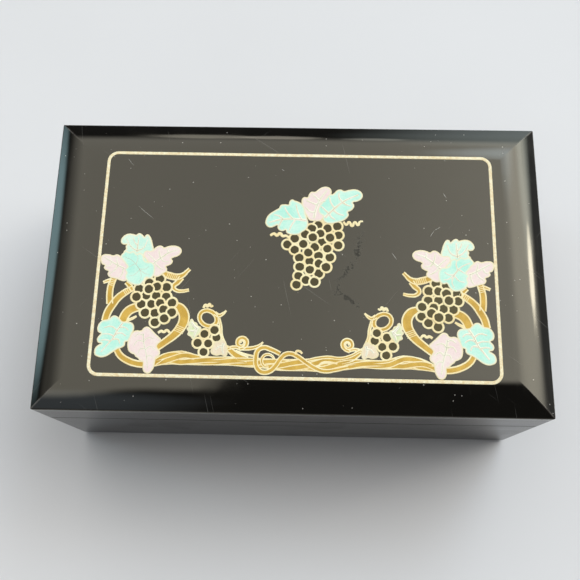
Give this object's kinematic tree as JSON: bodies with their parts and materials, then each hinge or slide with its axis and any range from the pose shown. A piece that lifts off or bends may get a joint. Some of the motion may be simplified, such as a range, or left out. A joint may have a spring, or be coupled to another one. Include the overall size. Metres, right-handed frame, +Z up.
{
  "type": "jewelry box",
  "caption": "Rectangular black lacquer jewelry box with a hinged crowned lid, velvet compartments, ring rolls, mirror and lid stay.",
  "frame": {"origin": "on the table under the centre of the case, at the middle of the felt's underside", "axes": "+X across the front to the right, +Y from the front to the hinges, +Z up"},
  "size_m": [0.23, 0.1426, 0.0943],
  "materials": {
    "black_lacquer": "gloss lacquer",
    "plywood": "bare",
    "felt": "matt felt",
    "velvet": "short pile",
    "mirror_glass": "polished",
    "gilt_wood": "satin gilt",
    "brass": "polished"
  },
  "bodies": {
    "case": {"front_wall": "black_lacquer", "back_wall": "black_lacquer", "left_wall": "black_lacquer", "right_wall": "black_lacquer", "base_panel": "plywood", "base_felt": "felt", "floor_pad": "velvet", "liner_left": "velvet", "liner_right": "velvet", "liner_front": "velvet", "liner_back": "velvet", "divider_ring": "velvet", "divider_long": "velvet", "divider_cross": "velvet", "ring_shelf": "velvet", "shelf_batten_front": "velvet", "shelf_batten_back": "velvet", "ring_roll_1": "velvet", "ring_roll_2": "velvet", "ring_roll_3": "velvet", "ring_roll_4": "velvet", "ring_roll_5": "velvet", "ring_roll_6": "velvet", "ring_roll_7": "velvet", "hinge_leaf_lower_left": "brass", "hinge_pin_left": "brass", "hinge_leaf_lower_right": "brass", "hinge_pin_right": "brass", "hinge_screws_lower": "brass", "stay_guide_screw": "brass"},
    "lid": {"lid_top_board": "black_lacquer", "lid_front_rail": "black_lacquer", "lid_back_rail": "black_lacquer", "lid_left_rail": "black_lacquer", "lid_right_rail": "black_lacquer", "lid_liner_left": "velvet", "lid_liner_right": "velvet", "lid_liner_front": "velvet", "lid_liner_back": "velvet", "lid_lining_board": "velvet", "mirror_glass": "mirror_glass", "mirror_trim_front": "gilt_wood", "mirror_trim_back": "gilt_wood", "mirror_trim_left": "gilt_wood", "mirror_trim_right": "gilt_wood", "hinge_leaf_upper_left": "brass", "hinge_leaf_upper_right": "brass", "hinge_screws_upper": "brass", "stay_pivot_screw": "brass"},
    "stay": {"stay_arm": "brass"}
  },
  "joints": [
    {"name": "lid_hinge", "type": "hinge", "parent": "case", "child": "lid", "pos_m": [0, 0.07065, 0.064], "axis": [-1, 0, 0], "range_deg": [0, 100]},
    {"name": "stay_turn", "type": "hinge", "parent": "lid", "child": "stay", "pos_m": [0.1041, 0.04414, 0.073], "axis": [-1, 0, 0], "range_deg": [-50, 0]}
  ],
  "couplings": [
    {"joint": "stay_turn", "follows": "lid_hinge", "ratio": -0.5}
  ]
}
